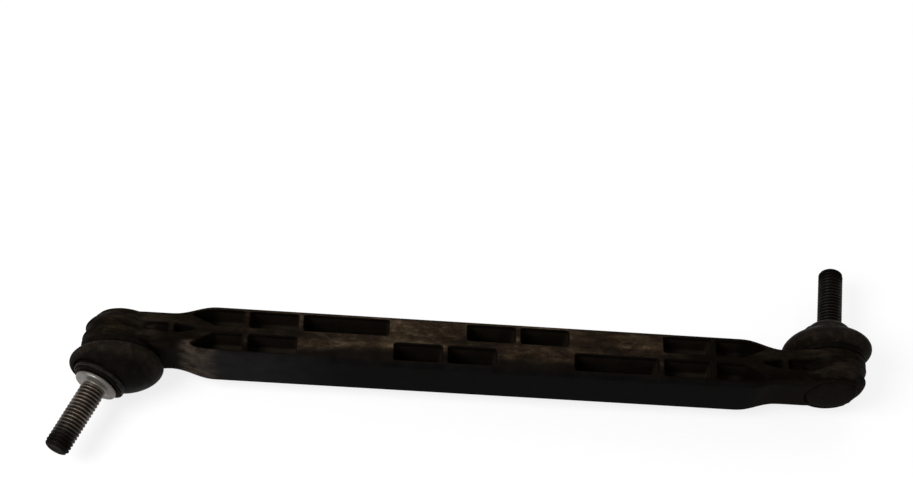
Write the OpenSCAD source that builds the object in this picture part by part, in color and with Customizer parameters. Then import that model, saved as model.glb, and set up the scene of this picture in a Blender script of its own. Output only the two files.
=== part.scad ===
// Stabilizer link: a moulded bar with a ball joint at each end.
// X runs along the bar, Z is up, and the origin is midway between the two balls.
// The left stud points to -Y and the right stud to +Y.

/* [Link] */
// Distance between the ball centres, along the bar
ball_span = 282; // [264:1:320]
// Distance of each ball centre from the bar's middle plane, towards its stud
ball_offset = 4; // [2:0.5:5]

/* [Bar] */
// Width of the bar across its two rows of pockets
bar_w = 22; // [20:0.5:25]
// Height of the bar
bar_h = 24; // [22:0.5:26]
// Rounding of the bar's long edges
edge_round = 3.6; // [1:0.1:4.5]
// Width at the narrowest place of each neck
neck_w = 15.5; // [14:0.5:18]
// Height at the lowest place of each neck
neck_h = 22; // [20:0.5:23.5]
// Distance from the ball centre to the narrowest place of the neck
neck_at = 20; // [18.5:0.5:24]
// Distance from the ball centre to where the bar has its full width
shoulder_at = 37; // [34:0.5:44]
// Distance from the ball centre to the lowest place of the neck
dip_at = 19.5; // [18:0.1:22]
// Distance from the ball centre to where the bar has its full height
crest_at = 41; // [36:0.1:46]

/* [Pockets] */
// Thickness of the long outer walls
wall_t = 2.2; // [1.8:0.1:3]
// Thickness of the spine between the two rows
spine_t = 3.2; // [2:0.1:4]
// Thickness of the skin that closes a pocket on its far side
skin_t = 2.6; // [1.8:0.1:4]
// Thickness of the cross ribs
rib_t = 2.4; // [1.6:0.1:3.5]
// Distance from the ball centre to the first full cross rib
end_zone = 70; // [60:0.5:74]
// Length of the outer single pocket of each row
outer_bay = 35.5; // [30:0.5:40]
// Length of the double pocket of each row
double_bay = 42.5; // [36:0.5:46]
// Distance from the ball centre to the rib that splits the end zone
end_rib_at = 49; // [46:0.5:54]
// Distance from the ball centre to where the spine widens into the neck
split_at = 37; // [33:0.5:40]
// Angle of the end pockets' slanted ends
split_angle = 26; // [18:1:35]
// Distance from the ball centre to the point of the three-sided pocket in the neck
eye_at = 30.5; // [28:0.5:33]
// Width of the three-sided pocket at its base, and of the slot beyond it
eye_w = 4.2; // [3:0.1:5]
// Thickness of the web between the upper and lower end pockets
web_t = 3; // [2:0.1:5]
// Depth of the slot between neck and housing
slot_depth = 4; // [1:0.5:5]

/* [Housing] */
// Outer radius of the socket housing
house_r = 15; // [14:0.1:17]
// Distance from the ball centre to the outside of the closing cap
back_at = 10.6; // [10:0.1:12]
// How far the closing cap stands out of the housing
cap_out = 0.8; // [0.4:0.1:1.2]
// Distance from the ball centre to the shoulder under the boot
shoulder_s = 2.6; // [2:0.1:3.5]
// How far the closed end rounds inwards
back_round = 4; // [1:0.5:4.1]
// Length of the closed end's rounding along the socket axis
back_crown = 6.5; // [5:0.5:7]
// Radius of the groove that holds the boot
groove_r = 12.6; // [12:0.1:13]
// Length of the groove that holds the boot
groove_l = 3.2; // [2.8:0.1:4]
// Radius of the nose in front of the groove
nose_r = 13.3; // [12.8:0.1:14]
// Length of the nose in front of the groove
nose_l = 1.1; // [0.8:0.1:1.5]
// Width of the ring lines round the housing
line_w = 1; // [0.5:0.1:1.5]
// Depth of the ring lines round the housing
line_depth = 0.5; // [0.2:0.1:0.8]
// Distance from the ball centre back to the ring line near the closed end
line_at = 4.8; // [4:0.1:5.6]

/* [Ball joint] */
// Radius of the ball
ball_r = 8; // [7.5:0.1:8.2]
// Running clearance between ball and seat
ball_gap = 0.05; // [0.02:0.01:0.1]
// Outer radius of the ball seat
seat_r = 10.1; // [9.6:0.1:10.6]
// Clearance of the seat in its bore
seat_gap = 0.05; // [0.02:0.01:0.15]
// Radius of the closing cap
cap_r = 10.7; // [10.5:0.1:10.9]
// Thickness of the closing cap
cap_t = 1.5; // [1:0.1:1.7]
// Radius of the raised ring on the closing cap
cap_ring_r = 9.3; // [6:0.1:10]
// Height of the raised ring on the closing cap
cap_ring_h = 0.8; // [0.4:0.1:1]
// Length of the rim that keeps the seat in its bore, as far as the groove's end
rim_l = 1.6; // [1:0.1:2.5]
// Largest tilt of a stud away from its socket axis
tilt_max = 28; // [20:1:30]

/* [Stud] */
// Radius of the thread
thread_r = 5; // [4:0.5:5]
// Length of the threaded shank in front of the flange
thread_l = 29.2; // [20:0.1:34]
// Radius of the neck behind the flange
stud_neck_r = 4.5; // [3.8:0.1:4.6]
// Radius of the seat for the boot's lip
lip_seat_r = 5; // [4.6:0.1:5.4]
// Radius of the flange
flange_r = 8.6; // [7.5:0.1:10]
// Thickness of the flange
flange_t = 1.6; // [1.2:0.1:3]
// Distance from the ball centre to the flange's back
flange_at = 17.9; // [17.5:0.1:20]
// Tilt of the left stud as it lies
left_tilt = 23; // [0:1:28]
// Direction of the left stud's tilt round its socket axis
left_tilt_dir = 185; // [0:5:355]
// Tilt of the right stud as it lies
right_tilt = 8; // [0:1:28]
// Direction of the right stud's tilt round its socket axis
right_tilt_dir = 205; // [0:5:355]

/* [Boot] */
// Largest radius of the boot
boot_r = 18.2; // [17:0.1:20]
// Thickness of the boot's wall
boot_t = 1.2; // [1:0.1:1.4]
// Radius of the boot's collar behind the flange
collar_r = 10; // [9:0.1:11]
// Length of the boot's collar
collar_l = 3.1; // [2.8:0.1:4]
// Clearance between the boot and what carries it
boot_gap = 0.3; // [0.2:0.05:0.4]
// Thickness of the ring that holds the boot on the housing
boot_ring_t = 0.6; // [0.4:0.1:0.8]
// Thickness of the ring that holds the collar on the stud
lip_ring_t = 0.9; // [0.5:0.1:1.2]

/* [Hidden] */
$fn = 64;

LEFT = 0;
RIGHT = 1;
eps = 0.01;
over = 1;
tilts = [left_tilt, right_tilt];
tilt_dirs = [left_tilt_dir, right_tilt_dir];

// Places along the bar, from the middle
ball_x = ball_span / 2;
neck_x = ball_x - neck_at;
shoulder_x = ball_x - shoulder_at;
dip_x = ball_x - dip_at;
crest_x = ball_x - crest_at;
core_x = ball_x - end_zone;
end_rib_x = ball_x - end_rib_at;
split_x = ball_x - split_at;
eye_x = ball_x - eye_at;
root_x = ball_x - house_r / 2;

// Places along a socket axis, from the ball centre towards the stud
house_back = cap_out - back_at;
groove_end = shoulder_s + groove_l;
nose_end = groove_end + nose_l;
seat_back = cap_t - back_at;
seat_front = groove_end - rim_l;
flange_front = flange_at + flange_t;
stud_tip = flange_front + thread_l;
collar_end = flange_at - boot_gap;
collar_s = collar_end - collar_l;
lip_s = collar_s - 2 * boot_t;
neck_step = 1;
tip_chamfer = 1;
flange_chamfer = 0.4;
flare_inset = 0.9;

// The stud's neck sweeps this cone at full tilt, with room to spare
mouth_gap = 0.4;
function mouth_r(s) = s * tan(tilt_max) + stud_neck_r / cos(tilt_max) + mouth_gap;

body_colour = "#2d2b29";
rubber_colour = "#1f1c1a";
steel_colour = "#8f867a";
ring_colour = "#4a4641";
cap_colour = "#24221f";
seat_colour = "#d9d3c2";

// Carries a joint's own frame, its socket axis along +Z and the bar towards +X, to its end of the link.
module at_joint(end)
    rotate([0, 0, 180 * end])
        translate([-ball_x, -ball_offset, 0])
            rotate([90, 0, 0])
                children();

// Tilts what stands along the socket axis as the stud lies.
module tilted(end)
    rotate([0, 0, tilt_dirs[end]])
        rotate([0, tilts[end], 0])
            rotate([0, 0, -tilt_dirs[end]])
                children();

module both_joints()
    for (end = [LEFT, RIGHT])
        at_joint(end)
            children();

module both_ways()
    for (way = [0, 1])
        mirror([way, 0, 0])
            children();

// Outline that waists down from half-width `half` at x0 to `neck_half` at x1, by two equal tangent arcs,
// and runs on to its root inside the housing.
module waisted(half, neck_half, x0, x1) {
    run = x1 - x0;
    drop = half - neck_half;
    bend_r = (run * run + drop * drop) / (4 * drop);
    square([2 * x0, 2 * half], center = true);
    both_ways() {
        intersection() {
            translate([x0, -half]) square([run / 2, 2 * half]);
            translate([x0, half - bend_r]) circle(bend_r);
            translate([x0, bend_r - half]) circle(bend_r);
        }
        difference() {
            translate([x1 - run / 2, -half]) square([run / 2, 2 * half]);
            translate([x1, neck_half + bend_r]) circle(bend_r);
            translate([x1, -neck_half - bend_r]) circle(bend_r);
        }
        translate([x1, -neck_half]) square([root_x - x1, 2 * neck_half]);
    }
}

// Outline that dips from `half` at x0 to `neck_half` at x1, in one soft wave each side.
module dipped(half, neck_half, x0, x1) {
    steps = 8;
    wave = [
        for (i = [0 : steps])
            [x0 + (x1 - x0) * i / steps, neck_half + (half - neck_half) * (1 + cos(180 * i / steps)) / 2]
    ];
    right = concat(wave, [[ball_x, neck_half]]);
    top = concat([for (i = [len(right) - 1 : -1 : 0]) [-right[i][0], right[i][1]]], right);
    polygon(concat(top, [for (i = [len(top) - 1 : -1 : 0]) [top[i][0], -top[i][1]]]));
}

// Half-extent of a rounded section w wide and h high, in the direction at angle a to its width.
function reach(w, h, a) =
    (w / 2 - edge_round) * cos(a) + (h / 2 - edge_round) * sin(a) + edge_round;

// Rounds the bar's four long edges, by flats that follow its waist.
module rounded_edges()
    intersection_for (a = [30, 60, 120, 150])
        rotate([a, 0, 0])
            linear_extrude(height = 4 * bar_h, center = true)
                dipped(
                    reach(bar_w, bar_h, min(a, 180 - a)), reach(neck_w, neck_h, min(a, 180 - a)),
                    shoulder_x, neck_x
                );

// A pocket of the front row, from x0 to x1, open upwards.
module row_pocket(x0, x1)
    translate([x0 + rib_t / 2, -bar_w / 2 + wall_t, skin_t - bar_h / 2])
        cube([x1 - x0 - rib_t, bar_w / 2 - wall_t - spine_t / 2, bar_h]);

// The staggered pockets of the front row: two bays open upwards, and the two between them downwards.
module front_row() {
    x1 = outer_bay - core_x;
    x2 = x1 + double_bay;
    x3 = core_x - outer_bay;
    row_pocket(x1, (x1 + x2) / 2);
    row_pocket((x1 + x2) / 2, x2);
    row_pocket(x3, core_x);
    mirror([0, 0, 1]) {
        row_pocket(-core_x, x1);
        row_pocket(x2, x3);
    }
}

// Plan of the end pockets: two bays each side of the spine, slanted where the spine widens into the neck,
// and a three-sided pocket in the widening.
module end_pocket_plan() {
    slant = bar_w / 2 - spine_t / 2;
    slant_x = split_x + slant / tan(split_angle);
    difference() {
        intersection() {
            waisted(bar_w / 2 - wall_t, neck_w / 2 - wall_t, shoulder_x, neck_x);
            translate([core_x + rib_t / 2, -bar_w / 2])
                square([neck_x - core_x, bar_w]);
        }
        translate([core_x, -spine_t / 2]) square([neck_x - core_x, spine_t]);
        translate([end_rib_x - rib_t / 2, -bar_w / 2]) square([rib_t, bar_w]);
        polygon([
            [split_x, spine_t / 2], [slant_x, bar_w / 2], [ball_x, bar_w / 2],
            [ball_x, -bar_w / 2], [slant_x, -bar_w / 2], [split_x, -spine_t / 2]
        ]);
    }
    polygon([[eye_x, 0], [neck_x - rib_t / 2, eye_w / 2], [neck_x - rib_t / 2, -eye_w / 2]]);
}

// Slot from the neck's cross rib to the housing.
module neck_slot()
    translate([neck_x + rib_t / 2, -eye_w / 2, neck_h / 2 - slot_depth])
        cube([neck_at - rib_t / 2, eye_w, house_r]);

// The bar: its plan and side outlines crossed, rounded, flared to the housings, cored from both sides.
module bar()
    difference() {
        union() {
            intersection() {
                linear_extrude(height = 2 * bar_h, center = true)
                    waisted(bar_w / 2, neck_w / 2, shoulder_x, neck_x);
                rotate([90, 0, 0])
                    linear_extrude(height = 2 * bar_w, center = true)
                        dipped(bar_h / 2, neck_h / 2, crest_x, dip_x);
                rounded_edges();
            }
            both_joints() flare();
        }
        for (turn = [0, 180])
            rotate([0, 0, turn]) {
                front_row();
                for (flip = [0, 1])
                    mirror([0, 0, flip]) {
                        translate([0, 0, web_t / 2]) linear_extrude(height = bar_h) end_pocket_plan();
                        neck_slot();
                    }
            }
    }

// Joins the neck's top and bottom to the housing along its tangents.
module flare() {
    touch_r = house_r - flare_inset;
    reach = norm([neck_at, neck_h / 2]);
    touch = atan2(neck_h / 2, neck_at) + acos(touch_r / reach);
    x0 = touch_r * cos(touch);
    y0 = touch_r * sin(touch);
    translate([0, 0, house_back + 2 * back_crown / 3])
        linear_extrude(height = shoulder_s - house_back - 2 * back_crown / 3)
            polygon([[x0, y0], [neck_at, neck_h / 2], [neck_at, -neck_h / 2], [x0, -y0]]);
}

// Outside of a housing: a drum with a crowned closed end and two ring lines.
module housing_drum() {
    crown_r = (back_round * back_round + back_crown * back_crown) / (2 * back_round);
    crown_s = house_back + back_crown;
    rotate_extrude()
        difference() {
            union() {
                translate([0, crown_s])
                    square([house_r, shoulder_s - crown_s]);
                intersection() {
                    translate([house_r - crown_r, crown_s]) circle(crown_r);
                    translate([0, house_back]) square([house_r, back_crown]);
                }
            }
            for (s = [-line_at, -line_w])
                translate([house_r - line_depth, s]) square([line_depth + over, line_w]);
        }
}

// The nose that the boot's bead snaps over.
module housing_nose() {
    translate([0, 0, shoulder_s - eps])
        cylinder(r = groove_r, h = groove_l + 2 * eps);
    translate([0, 0, groove_end])
        cylinder(r = nose_r, h = nose_l);
}

// Everything that is empty inside a housing: the cap's seat, the bore for the ball seat and the mouth.
module housing_bore() {
    mouth_end = nose_end + over;
    translate([0, 0, seat_back - bar_w])
        cylinder(r = cap_r + seat_gap, h = bar_w);
    translate([0, 0, seat_back - over])
        cylinder(r = seat_r + seat_gap, h = seat_front - seat_back + over + seat_gap);
    translate([0, 0, seat_front])
        cylinder(r1 = mouth_r(seat_front), r2 = mouth_r(mouth_end), h = mouth_end - seat_front);
}

module link_body()
    color(body_colour)
        difference() {
            union() {
                difference() {
                    union() {
                        bar();
                        both_joints() housing_drum();
                    }
                    both_joints()
                        translate([0, 0, shoulder_s])
                            cylinder(r = max(house_r, ring_out) + boot_gap, h = bar_w);
                }
                both_joints() housing_nose();
            }
            both_joints() housing_bore();
        }

module ball_stud(end)
    color(steel_colour)
        at_joint(end) tilted(end) {
            sphere(r = ball_r);
            cylinder(r = stud_neck_r, h = lip_s - neck_step);
            translate([0, 0, lip_s - neck_step])
                cylinder(r1 = stud_neck_r, r2 = lip_seat_r, h = neck_step);
            translate([0, 0, lip_s])
                cylinder(r = lip_seat_r, h = flange_at - lip_s);
            rotate_extrude()
                polygon([
                    [0, flange_at],
                    [flange_r - flange_chamfer, flange_at],
                    [flange_r, flange_at + flange_chamfer],
                    [flange_r, flange_front - flange_chamfer],
                    [flange_r - flange_chamfer, flange_front],
                    [0, flange_front]
                ]);
            translate([0, 0, flange_front])
                cylinder(r = thread_r, h = thread_l - tip_chamfer);
            translate([0, 0, stud_tip - tip_chamfer])
                cylinder(r1 = thread_r, r2 = thread_r - tip_chamfer, h = tip_chamfer);
        }

module ball_seat(end)
    color(seat_colour)
        at_joint(end)
            difference() {
                translate([0, 0, seat_back])
                    cylinder(r = seat_r, h = seat_front - seat_back);
                sphere(r = ball_r + ball_gap);
                cylinder(r1 = mouth_r(0), r2 = mouth_r(seat_front + over), h = seat_front + over);
            }

// Closing cap, with a raised ring near its edge.
module end_cap(end)
    color(cap_colour)
        at_joint(end) {
            translate([0, 0, -back_at])
                cylinder(r = cap_r, h = cap_t);
            translate([0, 0, -back_at])
                rotate_extrude()
                    translate([cap_ring_r, 0])
                        circle(r = cap_ring_h);
        }

// Half-section of the boot as [radius, distance from the ball centre]. Each point is the sum of a part
// that stays with the housing and a part that turns with the stud, so the wall bulges as the stud tilts.
bead_in = groove_r + boot_gap;
bead_out = nose_r + boot_t - boot_gap / 2;
bead_s = shoulder_s + boot_gap;
bead_end = groove_end - boot_gap;
nose_clear_r = nose_r + boot_gap;
ring_in = bead_out + boot_gap / 2;
ring_out = ring_in + boot_ring_t;
lip_in = lip_seat_r + boot_gap;
collar_round = 0.6;

// Points that pull the wall out to its swell, in at its fold and on to the collar, outside and inside
swell_pull = [boot_r + 1.2 * (boot_r - bead_out), bead_end + 1.8 * boot_t];
fold_pull = [boot_r - 1.8 * boot_t, collar_s - 0.7 * boot_t];
collar_pull = [collar_r + 1.7 * boot_t, collar_s];
swell_pull_in = swell_pull + [-1.5, 0.5] * boot_t;
fold_pull_in = [boot_r - 3.1 * boot_t, bead_end + 2.75 * boot_t];
collar_pull_in = [collar_r, bead_end + 4.4 * boot_t];
still = [0, 0];

function wall(base, swell, fold, pull, lip, t) = [
    base * pow(1 - t, 4) + swell * 4 * t * pow(1 - t, 3) + fold * 6 * pow(t * (1 - t), 2),
    pull * 4 * pow(t, 3) * (1 - t) + lip * pow(t, 4)
];
function outer_wall(t) = wall(
    [bead_out, bead_end], swell_pull, fold_pull, collar_pull, [collar_r + collar_round, collar_s], t
);
function inner_wall(t) = wall(
    [nose_clear_r, bead_end + boot_t], swell_pull_in, fold_pull_in, collar_pull_in, [lip_in, lip_s], t
);
wall_steps = [0.1 : 0.1 : 0.95];
bead_outside = [[bead_in, bead_s], [bead_out, bead_s], [bead_out, bead_end]];
bead_inside = [[nose_clear_r, bead_end + boot_t], [nose_clear_r, bead_end], [bead_in, bead_end]];
collar = [
    [collar_r + collar_round, collar_s], [collar_r, collar_s + collar_round],
    [collar_r, collar_end - collar_round], [collar_r - collar_round, collar_end],
    [lip_in, collar_end], [lip_in, lip_s]
];
boot_section = concat(
    [for (p = bead_outside) [p, still]],
    [for (t = wall_steps) outer_wall(t)],
    [for (p = collar) [still, p]],
    [for (t = wall_steps) inner_wall(1 - t)],
    [for (p = bead_inside) [p, still]]
);

// A section point spun to angle a round the axis, then tilted towards +X.
function spun(p, a, tilt) =
    let (x = p[0] * cos(a))
    [x * cos(tilt) + p[1] * sin(tilt), p[0] * sin(a), p[1] * cos(tilt) - x * sin(tilt)];

module boot(end) {
    sides = 40;
    n = len(boot_section);
    points = [
        for (i = [0 : sides - 1])
            for (p = boot_section)
                let (a = i * 360 / sides)
                spun(p[0], a, 0) + spun(p[1], a, tilts[end])
    ];
    faces = [
        for (i = [0 : sides - 1])
            for (k = [0 : n - 1])
                let (a = i * n, b = (i + 1) % sides * n, l = (k + 1) % n)
                each [[a + k, a + l, b + l], [a + k, b + l, b + k]]
    ];
    color(rubber_colour)
        at_joint(end)
            rotate([0, 0, tilt_dirs[end]])
                polyhedron(points, faces);
}

module boot_ring(end)
    color(ring_colour)
        at_joint(end)
            translate([0, 0, bead_s])
                difference() {
                    cylinder(r = ring_out, h = bead_end - bead_s - boot_gap);
                    translate([0, 0, -over]) cylinder(r = ring_in, h = groove_l + 2 * over);
                }

module lip_ring(end) {
    lip_ring_in = collar_r + boot_gap / 2;
    ring_s = collar_s + collar_round + boot_gap;
    ring_l = collar_l - 2 * (collar_round + boot_gap);
    color(ring_colour)
        at_joint(end)
            tilted(end)
                translate([0, 0, ring_s])
                    difference() {
                        cylinder(r = lip_ring_in + lip_ring_t, h = ring_l);
                        translate([0, 0, -over]) cylinder(r = lip_ring_in, h = ring_l + 2 * over);
                    }
}

link_body();
ball_stud(LEFT);  // left_ball_stud
ball_stud(RIGHT);  // right_ball_stud
ball_seat(LEFT);  // left_ball_seat
ball_seat(RIGHT);  // right_ball_seat
end_cap(LEFT);  // left_end_cap
end_cap(RIGHT);  // right_end_cap
boot(LEFT);  // left_boot
boot(RIGHT);  // right_boot
boot_ring(LEFT);  // left_boot_ring
boot_ring(RIGHT);  // right_boot_ring
lip_ring(LEFT);  // left_lip_ring
lip_ring(RIGHT);  // right_lip_ring
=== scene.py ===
"""Stabilizer link on a pale floor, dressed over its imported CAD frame."""
import math

import bmesh
import bpy
import numpy as np
from mathutils import Matrix, Vector


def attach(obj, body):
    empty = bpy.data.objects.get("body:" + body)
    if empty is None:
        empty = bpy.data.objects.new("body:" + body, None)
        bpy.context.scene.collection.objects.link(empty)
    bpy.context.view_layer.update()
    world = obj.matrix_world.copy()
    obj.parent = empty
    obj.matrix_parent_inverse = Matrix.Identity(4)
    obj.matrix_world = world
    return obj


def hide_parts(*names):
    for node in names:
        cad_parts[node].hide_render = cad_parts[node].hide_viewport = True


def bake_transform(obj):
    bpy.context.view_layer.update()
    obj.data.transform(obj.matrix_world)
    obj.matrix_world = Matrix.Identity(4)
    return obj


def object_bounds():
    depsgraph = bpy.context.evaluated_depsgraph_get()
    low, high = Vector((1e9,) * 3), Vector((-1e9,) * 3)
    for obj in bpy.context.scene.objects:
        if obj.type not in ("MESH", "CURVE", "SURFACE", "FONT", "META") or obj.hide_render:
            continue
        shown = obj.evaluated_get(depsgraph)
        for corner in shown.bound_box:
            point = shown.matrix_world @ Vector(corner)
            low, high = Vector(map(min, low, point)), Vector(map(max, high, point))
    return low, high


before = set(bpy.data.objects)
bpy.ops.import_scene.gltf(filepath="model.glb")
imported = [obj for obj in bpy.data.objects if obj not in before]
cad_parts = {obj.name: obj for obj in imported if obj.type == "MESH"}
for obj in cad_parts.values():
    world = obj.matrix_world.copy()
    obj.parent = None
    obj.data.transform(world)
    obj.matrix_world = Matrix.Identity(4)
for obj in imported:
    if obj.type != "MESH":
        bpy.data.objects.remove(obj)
cad_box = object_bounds()
scene = bpy.context.scene
scene.view_settings.view_transform = "Standard"
MM = 0.001

# Camera, fitted to the photograph: angles in radians, shift in the camera's own frame
FOCAL_PX, WIDTH_PX, SENSOR_MM = 1800.0, 913.0, 36.0
PITCH, YAW, ROLL = 0.9924, 0.1035, 0.15
SHIFT_MM = Vector((9.0, 47.3025, 714.375))
CLIP_M = (0.01, 20)

# Floor and light; a lamp has its place, aim and diameter in m and its power in W
FLOOR_HALF_M, FLOOR_GREY, FLOOR_GLOW = 3.0, 0.86, 0.8
SKY_LIGHT, SKY_SEEN = 0.55, 1.0
LAMPS = {
    "key": ((-0.55, -0.25, 0.75), (-0.05, 0, 0), 0.5, 9),
    "fill": ((0.3, 0.6, 0.8), (0, 0, 0), 0.6, 2),
}

# Sizes in mm. The right ball's centre is at BALL_X, BALL_Y and the left one's opposite. Radii are
# round the axis of a socket or a stud, and distances run along it from the ball towards the tip.
# ENDS has each stud's tilt at rest and its direction, in degrees.
BALL_X, BALL_Y = 141.0, 4.0
ENDS = {"left": (23.0, 185.0), "right": (8.0, 205.0)}
BALL_R, NECK_R, LIP_R = 8.0, 4.5, 5.0
FLANGE_R, FLANGE_AT, FLANGE_FRONT = 8.6, 17.9, 19.5
THREAD_R, THREAD_PITCH, THREAD_DEPTH, STUD_TIP = 5.0, 1.5, 0.92, 48.7
CAP_LIP_R, CAP_R, CAP_IN = 10.5, 10.7, -9.1
AXIS_R = 0.02  # radius of the small face that closes a turned shape on its axis

# Colours, linear; pairs are the dark and the light of a mottled surface
PLASTIC = (0.0028, 0.0021, 0.0016), (0.0052, 0.0040, 0.0030)
PLASTIC_FRONT = (0.0022, 0.0020, 0.0019), (0.0040, 0.0036, 0.0035)
# Painted light: the front face's paler tone towards the left end
PLASTIC_FRONT_LEFT_LIGHT = (0.0058, 0.0053, 0.0053), (0.0098, 0.0090, 0.0090)
PLASTIC_POCKET = (0.0076, 0.0057, 0.0039), (0.0124, 0.0093, 0.0064)
# Painted shade: the darker tone of the upper faces near both ends
PLASTIC_TOP_SHADE = (0.0021, 0.0015, 0.0010)
DUST_DARK, DUST_MID = (0.015, 0.0090, 0.0046), (0.034, 0.022, 0.0122)
DUST_PALE = (0.085, 0.062, 0.039)
MUD, SCUFF = (0.022, 0.0155, 0.011), (0.050, 0.038, 0.028)
RUBBER_TONES = (0.0034, 0.0026, 0.0019), (0.0078, 0.0058, 0.0042)
# Of these two, the second is painted shade in the boot's fold under the collar
RUBBER_DIRT, RUBBER_FOLD_SHADE = (0.019, 0.0132, 0.0088), (0.0014, 0.0012, 0.0011)
WIRE_TONES = (0.0050, 0.0042, 0.0034), (0.016, 0.013, 0.010)
RING_TONES = (0.0020, 0.0016, 0.0012), (0.0040, 0.0031, 0.0023)
CAP_TONES = (0.0026, 0.0020, 0.0015), (0.0060, 0.0045, 0.0034)
SEAT_TONES = (0.60, 0.56, 0.47), (0.68, 0.64, 0.54)
STUD_COLOURS = {
    "left": {
        "steel": (0.125, 0.100, 0.078),
        "grime": (0.010, 0.0074, 0.0054),
        "tip": (0.0066, 0.0050, 0.0042),
        "shine": (0.155, 0.145, 0.132),
    },
    "right": {
        "steel": (0.0105, 0.0084, 0.0064),
        "grime": (0.0018, 0.0014, 0.0011),
        "tip": (0.0042, 0.0033, 0.0026),
        "shine": (0.010, 0.0078, 0.0056),
    },
}
WHITE, TIP_TINT = (1, 1, 1), (0.10, 0.08, 0.07)


def rot_x(a):
    return Matrix(((1, 0, 0), (0, math.cos(a), -math.sin(a)), (0, math.sin(a), math.cos(a))))


def rot_y(a):
    return Matrix(((math.cos(a), 0, math.sin(a)), (0, 1, 0), (-math.sin(a), 0, math.cos(a))))


def rot_z(a):
    return Matrix(((math.cos(a), -math.sin(a), 0), (math.sin(a), math.cos(a), 0), (0, 0, 1)))


# Camera, floor and light
def make_camera():
    """Camera from the fitted turn, whose rows point right, down and ahead, and shift."""
    base = Matrix(((1, 0, 0), (0, 0, -1), (0, 1, 0)))
    turn = rot_z(ROLL) @ rot_x(PITCH) @ base @ rot_z(YAW)
    right, down, ahead = turn[0], turn[1], turn[2]
    pose = Matrix((right, -down, -ahead)).transposed().to_4x4()
    pose.translation = -(turn.transposed() @ SHIFT_MM) * MM
    data = bpy.data.cameras.new("camera")
    data.sensor_width = SENSOR_MM
    data.lens = SENSOR_MM * FOCAL_PX / WIDTH_PX
    data.clip_start, data.clip_end = CLIP_M
    camera = bpy.data.objects.new("camera", data)
    scene.collection.objects.link(camera)
    camera.matrix_world = pose
    scene.camera = camera


def make_floor():
    """Wide plane under the part, which glows to the camera so that it is near white."""
    low, s = cad_box[0].z, FLOOR_HALF_M
    mesh = bpy.data.meshes.new("floor")
    mesh.from_pydata([(-s, -s, low), (s, -s, low), (s, s, low), (-s, s, low)], [], [(0, 1, 2, 3)])
    floor = bpy.data.objects.new("floor", mesh)
    scene.collection.objects.link(floor)
    material = bpy.data.materials.new("floor")
    material.use_nodes = True
    nodes, links = material.node_tree.nodes, material.node_tree.links
    nodes.clear()
    out = nodes.new("ShaderNodeOutputMaterial")
    diffuse = nodes.new("ShaderNodeBsdfDiffuse")
    diffuse.inputs["Color"].default_value = (FLOOR_GREY, FLOOR_GREY, FLOOR_GREY, 1)
    glow = nodes.new("ShaderNodeEmission")
    glow.inputs["Color"].default_value = (*WHITE, 1)
    mix = nodes.new("ShaderNodeMixShader")
    path = nodes.new("ShaderNodeLightPath")
    seen = nodes.new("ShaderNodeMath")
    seen.operation = "MAXIMUM"
    share = nodes.new("ShaderNodeMath")
    share.operation = "MULTIPLY"
    share.inputs[1].default_value = FLOOR_GLOW
    links.new(path.outputs["Is Camera Ray"], seen.inputs[0])
    links.new(path.outputs["Is Glossy Ray"], seen.inputs[1])
    links.new(seen.outputs[0], share.inputs[0])
    links.new(share.outputs[0], mix.inputs[0])
    links.new(diffuse.outputs[0], mix.inputs[1])
    links.new(glow.outputs[0], mix.inputs[2])
    links.new(mix.outputs[0], out.inputs["Surface"])
    mesh.materials.append(material)


def make_light():
    """Even white sky, brighter where the camera sees past the floor, and two soft lamps."""
    world = bpy.data.worlds.new("world")
    scene.world = world
    world.use_nodes = True
    nodes, links = world.node_tree.nodes, world.node_tree.links
    sky = nodes["Background"]
    sky.inputs["Color"].default_value = (*WHITE, 1)
    path = nodes.new("ShaderNodeLightPath")
    level = nodes.new("ShaderNodeMapRange")
    level.inputs["To Min"].default_value = SKY_LIGHT
    level.inputs["To Max"].default_value = SKY_SEEN
    links.new(path.outputs["Is Camera Ray"], level.inputs["Value"])
    links.new(level.outputs["Result"], sky.inputs["Strength"])
    for name, (at, aim, size, power) in LAMPS.items():
        data = bpy.data.lights.new(name, "AREA")
        data.shape, data.size, data.energy = "DISK", size, power
        lamp = bpy.data.objects.new(name, data)
        lamp.location = at
        lamp.rotation_euler = (Vector(aim) - Vector(at)).to_track_quat("-Z", "Y").to_euler()
        scene.collection.objects.link(lamp)


make_camera()
make_floor()
make_light()


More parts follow.
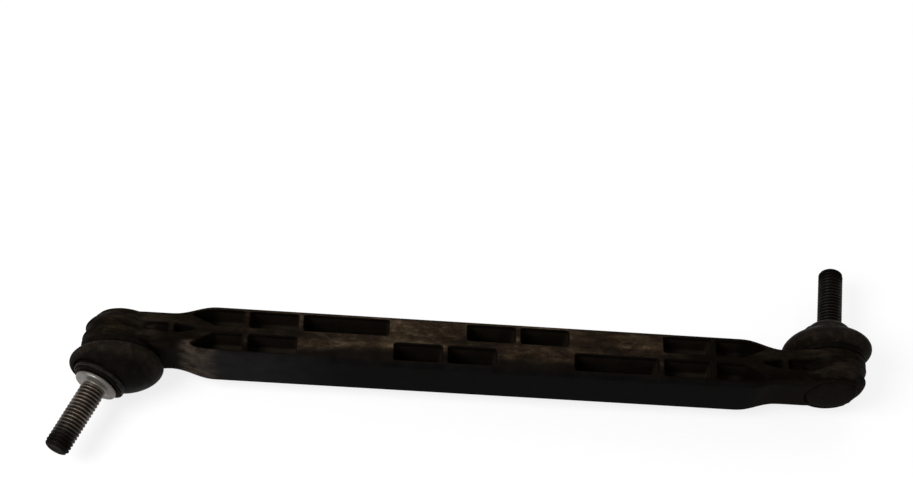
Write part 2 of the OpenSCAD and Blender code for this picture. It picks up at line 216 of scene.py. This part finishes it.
# Materials
class Nodes:
    """Short calls that add nodes to one material."""

    def __init__(self, name):
        self.material = bpy.data.materials.new(name)
        self.material.use_nodes = True
        self.nodes, self.links = self.material.node_tree.nodes, self.material.node_tree.links
        self.bsdf = self.nodes["Principled BSDF"]
        self.place = self.nodes.new("ShaderNodeTexCoord").outputs["Object"]

    def put(self, socket, value):
        """Link a node's output to a socket, or set a plain value on it."""
        if hasattr(value, "links"):
            self.links.new(value, socket)
        else:
            socket.default_value = value

    def op(self, kind, a, b=0.0):
        node = self.nodes.new("ShaderNodeMath")
        node.operation = kind
        self.put(node.inputs[0], a)
        self.put(node.inputs[1], b)
        return node.outputs[0]

    def product(self, first, *others):
        for other in others:
            first = self.op("MULTIPLY", first, other)
        return first

    def average(self, a, b, share):
        """`share` of a and the rest of b."""
        return self.op("ADD", self.op("MULTIPLY", a, share), self.op("MULTIPLY", b, 1 - share))

    def span(self, v, lo, hi, a=0.0, b=1.0):
        """Smooth step from a where v is lo to b where v is hi."""
        node = self.nodes.new("ShaderNodeMapRange")
        node.interpolation_type = "SMOOTHSTEP"
        for i, value in enumerate((v, lo, hi, a, b)):
            self.put(node.inputs[i], value)
        return node.outputs[0]

    def axes(self, vector):
        node = self.nodes.new("ShaderNodeSeparateXYZ")
        self.links.new(vector, node.inputs[0])
        return node.outputs[0], node.outputs[1], node.outputs[2]

    def facing_up(self):
        """1 on a surface that faces up, -1 on one that faces down."""
        return self.axes(self.nodes.new("ShaderNodeNewGeometry").outputs["Normal"])[2]

    def attribute(self, name):
        node = self.nodes.new("ShaderNodeAttribute")
        node.attribute_name = name
        return node.outputs["Fac"]

    def noise(self, scale, detail, rough=0.55, stretch=None):
        node = self.nodes.new("ShaderNodeTexNoise")
        node.inputs["Scale"].default_value = scale
        node.inputs["Detail"].default_value = detail
        node.inputs["Roughness"].default_value = rough
        place = self.place
        if stretch:
            mapping = self.nodes.new("ShaderNodeMapping")
            mapping.inputs["Scale"].default_value = stretch
            self.links.new(place, mapping.inputs[0])
            place = mapping.outputs[0]
        self.links.new(place, node.inputs["Vector"])
        return node.outputs["Fac"]

    def ramp(self, v, stops):
        node = self.nodes.new("ShaderNodeValToRGB")
        elements = node.color_ramp.elements
        while len(elements) < len(stops):
            elements.new(0.5)
        for element, (at, colour) in zip(elements, stops):
            element.position, element.color = at, (*colour, 1)
        self.links.new(v, node.inputs[0])
        return node.outputs["Color"]

    def tones(self, v, pair, lo=0.3, hi=0.7):
        dark, light = pair
        return self.ramp(v, [(lo, dark), (hi, light)])

    def mix(self, share, a, b):
        """Colour a, and `share` of colour b over it."""
        node = self.nodes.new("ShaderNodeMix")
        node.data_type = "RGBA"
        self.put(node.inputs[0], share)
        # The node's sockets 6 and 7 and its output 2 are those for colours.
        self.put(node.inputs[6], a if hasattr(a, "links") else (*a, 1))
        self.put(node.inputs[7], b if hasattr(b, "links") else (*b, 1))
        return node.outputs[2]

    def bump(self, height, distance, strength):
        node = self.nodes.new("ShaderNodeBump")
        node.inputs["Distance"].default_value = distance
        node.inputs["Strength"].default_value = strength
        self.links.new(height, node.inputs["Height"])
        self.links.new(node.outputs["Normal"], self.bsdf.inputs["Normal"])

    def finish(self, **sockets):
        """Set the shader's sockets, named with _ for a space, and give the material."""
        for name, value in sockets.items():
            self.put(self.bsdf.inputs[name.replace("_", " ")], value)
        return self.material


def plastic_colour(k, x, y, z, up, mid):
    """The bare moulding: brownish black, black in front, and brown inside the pockets, with painted
    shade on its upper faces near both ends and painted light on the front towards the left end.
    """
    off_middle, off_spine = k.op("ABSOLUTE", x), k.op("ABSOLUTE", y)
    colour = k.tones(mid, PLASTIC)
    # Painted shade: upward faces near both ends are darkened.
    top_shade_and_bare_crest = k.product(k.span(up, 0.5, 0.9), k.span(off_middle, 0.06, 0.095))
    colour = k.mix(top_shade_and_bare_crest, colour, PLASTIC_TOP_SHADE)
    front = k.span(y, -0.0086, -0.0106)
    colour = k.mix(front, colour, k.tones(mid, PLASTIC_FRONT))
    # Painted light: the front face turns lighter and greyer towards the left end, where the light
    # falls on it.
    left_light = k.product(front, k.span(x, -0.05, -0.09))
    colour = k.mix(left_light, colour, k.tones(mid, PLASTIC_FRONT_LEFT_LIGHT))
    pocket = k.product(
        k.span(off_spine, 0.0104, 0.0098),
        k.span(z, 0.0102, 0.0088),
        k.span(off_middle, 0.106, 0.102),
    )
    return k.mix(pocket, colour, k.tones(mid, PLASTIC_POCKET))


def dust_share(k, x, y, z, up, mid, streak):
    """Road dust on the upper faces, from the back edge to a little in front of the spine."""
    wander = k.op("MULTIPLY", k.op("SUBTRACT", k.noise(38, 4, 0.6), 0.5), 0.009)
    return k.product(
        k.span(up, 0.72, 0.97),
        k.span(z, 0.0085, 0.0108),
        k.span(k.op("ADD", y, wander), -0.0075, -0.0035),
        # Less on the spine, and towards both ends.
        k.span(k.op("ABSOLUTE", y), 0.0015, 0.0028, 0.6, 1.0),
        k.span(x, -0.118, -0.02, 0.16, 0.85),
        k.span(x, 0.072, 0.086, 1.0, 0.08),
        # Patchy.
        k.span(streak, 0.3, 0.62, 0.25, 1.0),
        k.span(mid, 0.25, 0.6, 0.55, 1.0),
    )


def body_material():
    """Moulded plastic under dust, mud and scuffs, with painted light and shade; places are in m in
    the part's frame.
    """
    k = Nodes("moulded_plastic")
    x, y, z = k.axes(k.place)
    up = k.facing_up()
    fine, mid = k.noise(900, 3), k.noise(160, 5, 0.6)
    streak = k.noise(120, 5, 0.65, (0.25, 1, 1))
    speck = k.noise(620, 5, 0.72, (0.45, 1, 1))
    dust = dust_share(k, x, y, z, up, mid, streak)
    grain = k.average(streak, speck, 0.5)
    tan = k.ramp(grain, [(0.4, DUST_DARK), (0.5, DUST_MID), (0.62, DUST_PALE)])
    # Mud sticks to the housings.
    mud = k.product(
        k.span(k.op("ABSOLUTE", x), 0.122, 0.130),
        k.span(up, -0.3, 0.6),
        k.span(k.noise(190, 5, 0.68, (0.3, 1, 0.6)), 0.44, 0.74),
        0.6,
    )
    # The front of the left neck is scuffed pale.
    scuff = k.product(
        k.span(x, -0.1195, -0.114),
        k.span(x, -0.108, -0.1005, 1.0, 0.0),
        k.span(y, -0.0045, -0.007),
        k.span(k.noise(300, 5, 0.7, (0.45, 1, 1)), 0.3, 0.72),
        0.8,
    )
    colour = k.mix(dust, plastic_colour(k, x, y, z, up, mid), tan)
    colour = k.mix(mud, colour, MUD)
    colour = k.mix(scuff, colour, SCUFF)
    k.bump(k.average(fine, mid, 0.5), 0.00012, 0.6)
    rough = k.op("ADD", k.span(mid, 0.3, 0.7, 0.5, 0.62), k.op("MULTIPLY", dust, 0.25))
    return k.finish(Base_Color=colour, Roughness=rough, Specular_IOR_Level=0.005)


def rubber_material():
    """Boot rubber, dirtier where it faces up, with painted shade in the fold under the collar."""
    k = Nodes("boot_rubber")
    fine, mid = k.noise(1200, 3), k.noise(210, 5, 0.62)
    dirt = k.product(
        k.span(k.facing_up(), -1.6, 0.7),
        k.span(k.noise(330, 5, 0.65), 0.42, 0.72),
        0.6,
    )
    # Painted shade in the fold under the collar, high up the boot's wall.
    fold_shade = k.span(k.attribute("wall"), 0.4, 0.6, 0.0, 0.75)
    colour = k.mix(dirt, k.tones(mid, RUBBER_TONES), RUBBER_DIRT)
    colour = k.mix(fold_shade, colour, RUBBER_FOLD_SHADE)
    k.bump(k.average(fine, mid, 0.4), 0.0002, 0.6)
    rough = k.span(mid, 0.3, 0.7, 0.42, 0.6)
    return k.finish(Base_Color=colour, Roughness=rough, Specular_IOR_Level=0.012)


def stud_material(name, steel, grime, tip, shine):
    """Steel, bright at the flange, brown and greasy in the thread, and darker at the tip."""
    k = Nodes(name)
    s = k.attribute("along")
    mid = k.noise(260, 5, 0.62)
    flange = k.product(k.span(s, 0.0176, 0.018), k.span(s, 0.0206, 0.0198))
    top_shade_and_bare_crest = k.product(k.span(k.attribute("crest"), 0.25, 0.95), k.span(mid, 0.68, 0.36, 0.35, 1.0))
    bare = k.product(
        k.span(mid, 0.3, 0.5, 0.55, 1.0),
        k.span(k.attribute("side"), 0.1, 0.6, 0.45, 1.0),
    )
    thread = k.mix(top_shade_and_bare_crest, grime, steel)
    thread = k.mix(k.span(s, 0.034, 0.0445), thread, tip)
    k.bump(k.noise(1500, 4), 0.0001, 0.5)
    rough = k.span(mid, 0.3, 0.7, 0.38, 0.58)
    return k.finish(
        Base_Color=k.mix(k.product(flange, bare), thread, shine),
        Roughness=k.op("ADD", rough, k.op("MULTIPLY", flange, -0.06)),
        Metallic=0.75,
        Specular_IOR_Level=0.15,
        Specular_Tint=k.mix(k.span(s, 0.042, 0.047), WHITE, TIP_TINT),
    )


def ring_material(name, pair, specular):
    k = Nodes(name)
    mid = k.noise(300, 5, 0.6)
    k.bump(k.noise(1400, 3), 0.0001, 0.4)
    return k.finish(
        Base_Color=k.tones(mid, pair, 0.35, 0.65),
        Roughness=k.span(mid, 0.3, 0.7, 0.4, 0.6),
        Specular_IOR_Level=specular,
    )


def cap_material():
    k = Nodes("cap_plastic")
    mid = k.noise(240, 5, 0.6)
    k.bump(k.noise(1000, 3), 0.0001, 0.5)
    return k.finish(
        Base_Color=k.tones(mid, CAP_TONES),
        Roughness=k.span(mid, 0.3, 0.7, 0.48, 0.62),
        Specular_IOR_Level=0.005,
    )


def seat_material():
    k = Nodes("seat_acetal")
    mid = k.noise(200, 4)
    k.bump(k.noise(900, 2), 0.00005, 0.4)
    return k.finish(
        Base_Color=k.tones(mid, SEAT_TONES),
        Roughness=k.span(mid, 0.3, 0.7, 0.3, 0.42),
    )


BODY, RUBBER = body_material(), rubber_material()
WIRE = ring_material("ring_wire", WIRE_TONES, 0.05)
RING = ring_material("ring_steel", RING_TONES, 0.004)
CAP, SEAT = cap_material(), seat_material()
STUDS = {end: stud_material(end + "_stud_steel", **STUD_COLOURS[end]) for end in ENDS}


# Mesh helpers
def joint_frame(end):
    """Matrix from a joint's own frame, its socket axis along +Z, to the part's."""
    side = -1 if end == "left" else 1
    turn = rot_x(math.pi / 2)
    if end == "right":
        turn = rot_z(math.pi) @ turn
    return Matrix.Translation((side * BALL_X * MM, side * BALL_Y * MM, 0)) @ turn.to_4x4()


def tilt_matrix(end, share=1.0):
    """The stud's tilt at rest, or a share of it."""
    tilt, way = (math.radians(v) for v in ENDS[end])
    return rot_z(way) @ rot_y(tilt * share) @ rot_z(-way)


def around(sides):
    return [2 * math.pi * j / sides for j in range(sides)]


def polar(r, a, s):
    return Vector((r * math.cos(a), r * math.sin(a), s))


def shade_smooth(mesh):
    for polygon in mesh.polygons:
        polygon.use_smooth = True


def add_mesh(name, points, faces, material, body=None):
    mesh = bpy.data.meshes.new(name)
    mesh.from_pydata([tuple(p) for p in points], [], faces)
    mesh.materials.append(material)
    shade_smooth(mesh)
    obj = bpy.data.objects.new(name, mesh)
    scene.collection.objects.link(obj)
    if body:
        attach(obj, body)
    return obj


def add_attribute(obj, name, values):
    obj.data.attributes.new(name, "FLOAT", "POINT").data.foreach_set("value", values)


def grid_faces(rows, cols, closed=False):
    """Quads of a grid whose columns run round an axis; `closed` joins the last row to the first."""
    out = []
    for i in range(rows if closed else rows - 1):
        a, b = i * cols, (i + 1) % rows * cols
        for j in range(cols):
            k = (j + 1) % cols
            out.append((a + j, a + k, b + k, b + j))
    return out


def capped_faces(rows, cols):
    """The same grid with a face across its first row and its last."""
    last = (rows - 1) * cols
    ends = [tuple(range(cols - 1, -1, -1)), tuple(range(last, last + cols))]
    return grid_faces(rows, cols) + ends


def bake_modifiers(obj):
    deps = bpy.context.evaluated_depsgraph_get()
    done = bpy.data.meshes.new_from_object(obj.evaluated_get(deps))
    obj.modifiers.clear()
    obj.data = done


# The moulding
def neck_fan():
    """Sections of the ramp between a neck's side and the closed end, a fan round the cap."""
    steps, spread = 20, 90
    reach, half_width = 19.0, 7.6
    foot, rim_low, rim_rise, top = -3.0, -10.4, 0.8, -11.65
    sections = []
    for i in range(steps + 1):
        turn = 2 * i / steps - 1
        a = math.radians(spread * turn)
        inner = (CAP_LIP_R * math.cos(a), CAP_LIP_R * math.sin(a))
        outer = (reach, half_width * turn)
        rim = rim_low - rim_rise * math.cos(turn * math.pi / 2) ** 2
        sections.append([(*inner, foot), (*inner, rim), (*outer, top), (*outer, foot)])
    return sections


def rolled_rim():
    """Sections of the housing's rim over the cap's edge, fading out on the far side."""
    steps, sides, spread = 60, 12, 150
    mid_r, mid_s, thick, fade = 11.35, -10.05, 1.15, 0.75
    sections = []
    for i in range(steps + 1):
        turn = 2 * i / steps - 1
        a, tube = math.radians(spread * turn), thick - fade * turn ** 4
        sections.append([polar(mid_r + tube * math.cos(b), a, mid_s + tube * math.sin(b))
                         for b in around(sides)])
    return sections


def add_loft(bm, place, sections):
    """Closed solid through sections of equal count."""
    rings = [[bm.verts.new(place @ (Vector(p) * MM)) for p in section] for section in sections]
    count = len(sections[0])
    for a, b in zip(rings, rings[1:]):
        for k in range(count):
            bm.faces.new((a[k], a[(k + 1) % count], b[(k + 1) % count], b[k]))
    bm.faces.new(rings[0][::-1])
    bm.faces.new(rings[-1])


def ramp_up(v, a, b):
    t = np.clip((v - a) / (b - a), 0, 1)
    return t * t * (3 - 2 * t)


def shape_ends(obj):
    """Press the wide groove into each drum, deeper towards the neck, and smooth the neck's root."""
    drum_in, drum_out = 12.5, 15.8
    shallow, deeper, far_turn, neck_turn = 0.8, 1.4, 100, 60
    groove_low, groove_high = (-6.5, -5.6), (-1.5, -2.3)
    root_in, root_out, root_back, root_top = 11.3, 21, -12, -8.2
    mesh = obj.data
    co = np.empty(len(mesh.vertices) * 3)
    mesh.vertices.foreach_get("co", co)
    co = co.reshape(-1, 3)
    root = obj.vertex_groups.new(name="root")
    for end in ENDS:
        place = np.array(joint_frame(end))
        back = np.linalg.inv(place)
        q = (co @ back[:3, :3].T + back[:3, 3]) / MM
        r, along = np.hypot(q[:, 0], q[:, 1]), q[:, 2]
        turn = np.degrees(np.arctan2(np.abs(q[:, 1]), q[:, 0]))
        drum = (r > drum_in) & (r < drum_out)
        depth = shallow + deeper * ramp_up(turn, far_turn, neck_turn)
        depth = depth * ramp_up(along, *groove_low) * ramp_up(along, *groove_high) * drum
        q[:, :2] *= ((r - depth) / np.maximum(r, 1e-6))[:, None]
        near = (r > root_in) & (r < root_out) & (q[:, 0] > root_back) & (along < root_top)
        root.add(np.nonzero(near)[0].tolist(), 1.0, "REPLACE")
        co = (q * MM) @ place[:3, :3].T + place[:3, 3]
    mesh.vertices.foreach_set("co", co.ravel())
    smooth = obj.modifiers.new("smooth_root", "SMOOTH")
    smooth.factor, smooth.iterations, smooth.vertex_group = 0.5, 24, "root"


def make_body():
    """The moulding: the CAD solid with its edges rounded as a mould leaves them."""
    weld_m, voxel_m, kept_faces = 1e-7, 0.00042, 0.22
    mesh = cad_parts["link_body"].data.copy()
    mesh.name = "moulding"
    mesh.materials.clear()
    mesh.materials.append(BODY)
    obj = bpy.data.objects.new("moulding", mesh)
    scene.collection.objects.link(obj)
    bm = bmesh.new()
    bm.from_mesh(mesh)
    bmesh.ops.remove_doubles(bm, verts=bm.verts, dist=weld_m)
    for end in ENDS:
        for sections in (neck_fan(), rolled_rim()):
            add_loft(bm, joint_frame(end), sections)
    bmesh.ops.recalc_face_normals(bm, faces=bm.faces)
    bm.to_mesh(mesh)
    bm.free()
    remesh = obj.modifiers.new("remesh", "REMESH")
    remesh.mode, remesh.voxel_size, remesh.use_smooth_shade = "VOXEL", voxel_m, True
    smooth = obj.modifiers.new("smooth", "SMOOTH")
    smooth.factor, smooth.iterations = 0.5, 9
    bake_modifiers(obj)
    shape_ends(obj)
    obj.modifiers.new("decimate", "DECIMATE").ratio = kept_faces
    bake_modifiers(obj)
    shade_smooth(obj.data)
    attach(obj, "link")
    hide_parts("link_body")


# Boots, studs, caps and collar rings
def bezier(points, t):
    """A point of the boot's wall, as the share that stays with the housing and that of the stud."""
    a, b, c, d, e = points
    u = 1 - t
    return a * u ** 4 + b * 4 * t * u ** 3 + c * 6 * (t * u) ** 2, d * 4 * t ** 3 * u + e * t ** 4


def boot_section():
    """Half-section (r, s) of a boot, from the bead out over the wall and back inside.

    Each row has the share that stays with the housing, the share that turns with the stud,
    and how far up the wall it is.
    """
    outer = np.array(((14.35, 5.5), (22.82, 7.66), (16.04, 13.66), (12.04, 14.5), (10.5, 14.5)))
    inner = np.array(((13.6, 6.7), (21.02, 8.26), (14.6, 10.6), (10.8, 12.4), (6.8, 13.2)))
    bead_out = ((12.9, 3.05), (13.05, 2.9), (14.2, 2.9), (14.35, 3.1), (14.35, 5.2))
    bead_in = ((13.6, 5.7), (13.45, 5.5), (12.9, 5.5))
    collar = ((10.22, 14.72), (10.0, 15.1), (10.0, 16.85), (9.92, 17.25), (9.6, 17.52),
              (9.2, 17.6), (5.6, 17.6), (5.3, 17.4), (5.3, 14.2), (5.8, 13.6))
    nothing, on_bead, on_collar = (0.0, 0.0), 0.0, 0.9
    outer_rows, inner_rows = 34, 22
    rows = [(p, nothing, on_bead) for p in bead_out]
    rows += [(*bezier(outer, t), t) for t in np.linspace(0, 1, outer_rows)]
    rows += [(nothing, p, on_collar) for p in collar]
    rows += [(*bezier(inner, t), t) for t in np.linspace(1, 0, inner_rows)]
    rows += [(p, nothing, on_bead) for p in bead_in]
    return rows


def make_boot(end):
    sides, lean_share = 96, 0.75
    rows = boot_section()
    place, tilt = joint_frame(end), tilt_matrix(end)
    points, wall = [], []
    for (fixed_r, fixed_s), (turned_r, turned_s), height in rows:
        wall += [height] * sides
        for a in around(sides):
            p = polar(fixed_r, a, fixed_s) + tilt @ polar(turned_r, a, turned_s)
            points.append(place @ (p * MM))
    obj = add_mesh(end + "_dust_boot", points, grid_faces(len(rows), sides, True), RUBBER)
    add_attribute(obj, "wall", wall)
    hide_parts(end + "_boot")
    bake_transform(obj)


def thread_r(s, a):
    """Radius of the rolled thread at distance s and angle a, run out at both ends."""
    shank_r, shank, run_in, tip_round = THREAD_R - 0.35, 0.8, 2.0, 1.7
    peak, slope = 1.25, 2.7
    phase = (s / THREAD_PITCH - a / (2 * math.pi)) % 1.0
    tooth = min(1.0, max(0.0, peak - slope * abs(phase - 0.5)))
    r = THREAD_R - THREAD_DEPTH + THREAD_DEPTH * tooth
    start = min(1.0, max(0.0, (s - FLANGE_FRONT - shank) / run_in))
    r = shank_r * (1 - start) + r * start
    in_tip = max(0.0, tip_round - (STUD_TIP - s))
    tip_r = THREAD_R - tip_round + math.sqrt(max(0.0, tip_round ** 2 - in_tip ** 2))
    return min(r, tip_r)


def stud_profile():
    """Half-section (r, s) of the ball, the neck and the flange."""
    steps = 24
    neck_to, lip_from = 11.1, 12.1
    neck_from = math.sqrt(BALL_R ** 2 - NECK_R ** 2) + 0.4
    rows = [(AXIS_R, -BALL_R)]
    for i in range(1, steps + 1):
        a = math.pi * i / steps * (1 - math.asin(NECK_R / BALL_R) / math.pi)
        rows.append((BALL_R * math.sin(a), -BALL_R * math.cos(a)))
    rows += [(NECK_R, neck_from), (NECK_R, neck_to), (LIP_R, lip_from), (LIP_R, FLANGE_AT)]
    back, front, edge = FLANGE_AT, FLANGE_FRONT, 0.45
    rows += [(FLANGE_R - edge, back), (FLANGE_R - 0.13, back + 0.13), (FLANGE_R, back + edge),
             (FLANGE_R, front - edge - 0.1), (FLANGE_R - 0.15, front - 0.15),
             (FLANGE_R - edge, front), (FLANGE_R - 1.6, front),
             (THREAD_R + 0.7, front + 0.02), (THREAD_R + 0.1, front + 0.25)]
    return rows


def make_stud(end):
    sides, rows_per_turn, bare_way = 60, 8, math.radians(135)
    place, tilt = joint_frame(end), tilt_matrix(end)
    angles = around(sides)
    rows = [[(r, s)] * sides for r, s in stud_profile()]
    thread_from = FLANGE_FRONT + 0.5
    length = STUD_TIP - thread_from
    steps = int(length / (THREAD_PITCH / rows_per_turn))
    for i in range(steps + 1):
        s = thread_from + length * i / steps
        rows.append([(thread_r(s, a), s) for a in angles])
    tip = ((THREAD_R - 1.85, STUD_TIP), (THREAD_R - 2.95, STUD_TIP - 0.05),
           (AXIS_R, STUD_TIP - 0.25))
    rows += [[(r, s)] * sides for r, s in tip]
    points, along, crest, side = [], [], [], []
    for row in rows:
        for a, (r, s) in zip(angles, row):
            points.append(place @ (tilt @ polar(r, a, s) * MM))
            along.append(s * MM)
            # 1 on the crest of the thread and on all below the thread, 0 at its root.
            height = (r - THREAD_R + THREAD_DEPTH) / THREAD_DEPTH
            crest.append(height if s >= thread_from else 1.0)
            # 1 on the side that is rubbed bare, up and away from the bar, 0 on the other.
            side.append(0.5 + 0.5 * math.cos(a - bare_way))
    faces = capped_faces(len(rows), sides)
    obj = add_mesh(end + "_threaded_stud", points, faces, STUDS[end], end + "_stud")
    for name, values in (("along", along), ("crest", crest), ("side", side)):
        add_attribute(obj, name, values)
    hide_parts(end + "_ball_stud")


def make_cap(end):
    """Closing cap, domed, its edge under the rolled rim."""
    sides, place = 72, joint_frame(end)
    rows = ((AXIS_R, -11.75), (4.0, -11.7), (7.2, -11.55), (8.8, -11.35), (9.8, -11.0),
            (10.4, -10.5), (CAP_R, -9.9), (CAP_R, CAP_IN), (AXIS_R, CAP_IN))
    points = [place @ (polar(r, a, s) * MM) for r, s in rows for a in around(sides)]
    faces = capped_faces(len(rows), sides)
    obj = add_mesh(end + "_closing_cap", points, faces, CAP, "link")
    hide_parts(end + "_end_cap")


def make_wire_ring(end):
    """Two close turns of round wire that hold the boot's collar."""
    wire_r, inner_r, first_s, turns = 0.32, 10.12, 15.5, 2.1
    sides, rows_per_turn, taper_rows, end_size = 10, 72, 3, 0.3
    place, tilt = joint_frame(end), tilt_matrix(end)
    rows = int(turns * rows_per_turn)
    points = []
    for i in range(rows + 1):
        a = 2 * math.pi * i / rows_per_turn
        s = first_s + 2 * wire_r * i / rows_per_turn
        tube = wire_r * min(1.0, i / taper_rows + end_size, (rows - i) / taper_rows + end_size)
        for b in around(sides):
            p = polar(inner_r + wire_r + tube * math.cos(b), a, s + tube * math.sin(b))
            points.append(place @ (tilt @ p * MM))
    faces = capped_faces(rows + 1, sides)
    obj = add_mesh(end + "_collar_wire", points, faces, WIRE, end + "_lip")
    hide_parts(end + "_lip_ring")


def set_material(node, material):
    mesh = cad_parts[node].data
    mesh.materials.clear()
    mesh.materials.append(material)


make_body()
for end in ENDS:
    make_boot(end)
    make_stud(end)
    make_wire_ring(end)
    make_cap(end)
    set_material(end + "_ball_seat", SEAT)
    set_material(end + "_boot_ring", RING)
